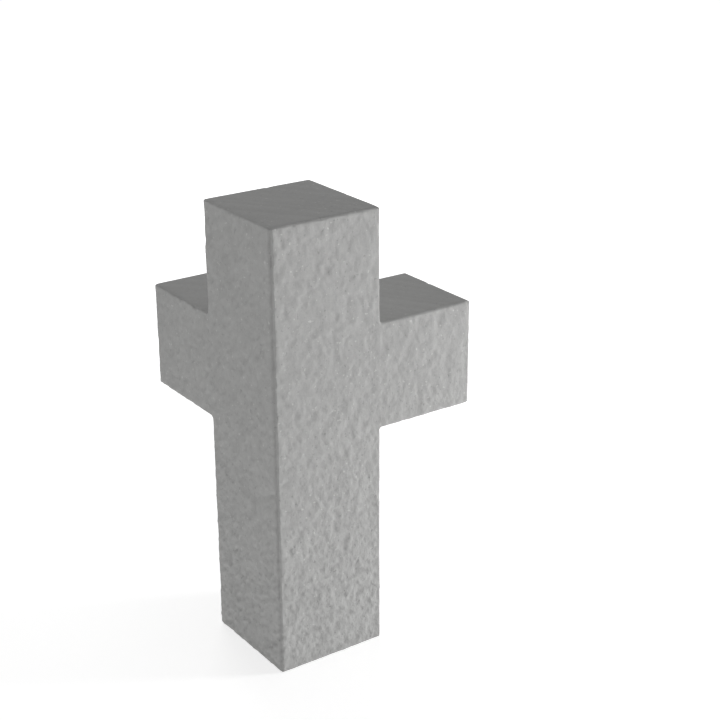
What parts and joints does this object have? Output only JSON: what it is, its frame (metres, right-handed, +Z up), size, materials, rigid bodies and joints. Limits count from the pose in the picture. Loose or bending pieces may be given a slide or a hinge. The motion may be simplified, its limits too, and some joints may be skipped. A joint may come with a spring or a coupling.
{
  "type": "cornerstone",
  "caption": "Light grey stone for an outer wall corner: a square post with two arms at right angles to each other, so its outer faces read as a cross folded round the corner.",
  "frame": {"origin": "middle of the square shaft's foot, on the base bed", "axes": "+Z up the shaft, +X along the arm that lies in the right-hand wall, +Y along the arm that lies in the left-hand wall; the outer faces look along -Y and -X"},
  "size_m": [0.4, 0.4, 0.8],
  "materials": {
    "dressed_stone": "matte"
  },
  "bodies": {
    "root": {"cornerstone": "dressed_stone"}
  },
  "joints": []
}
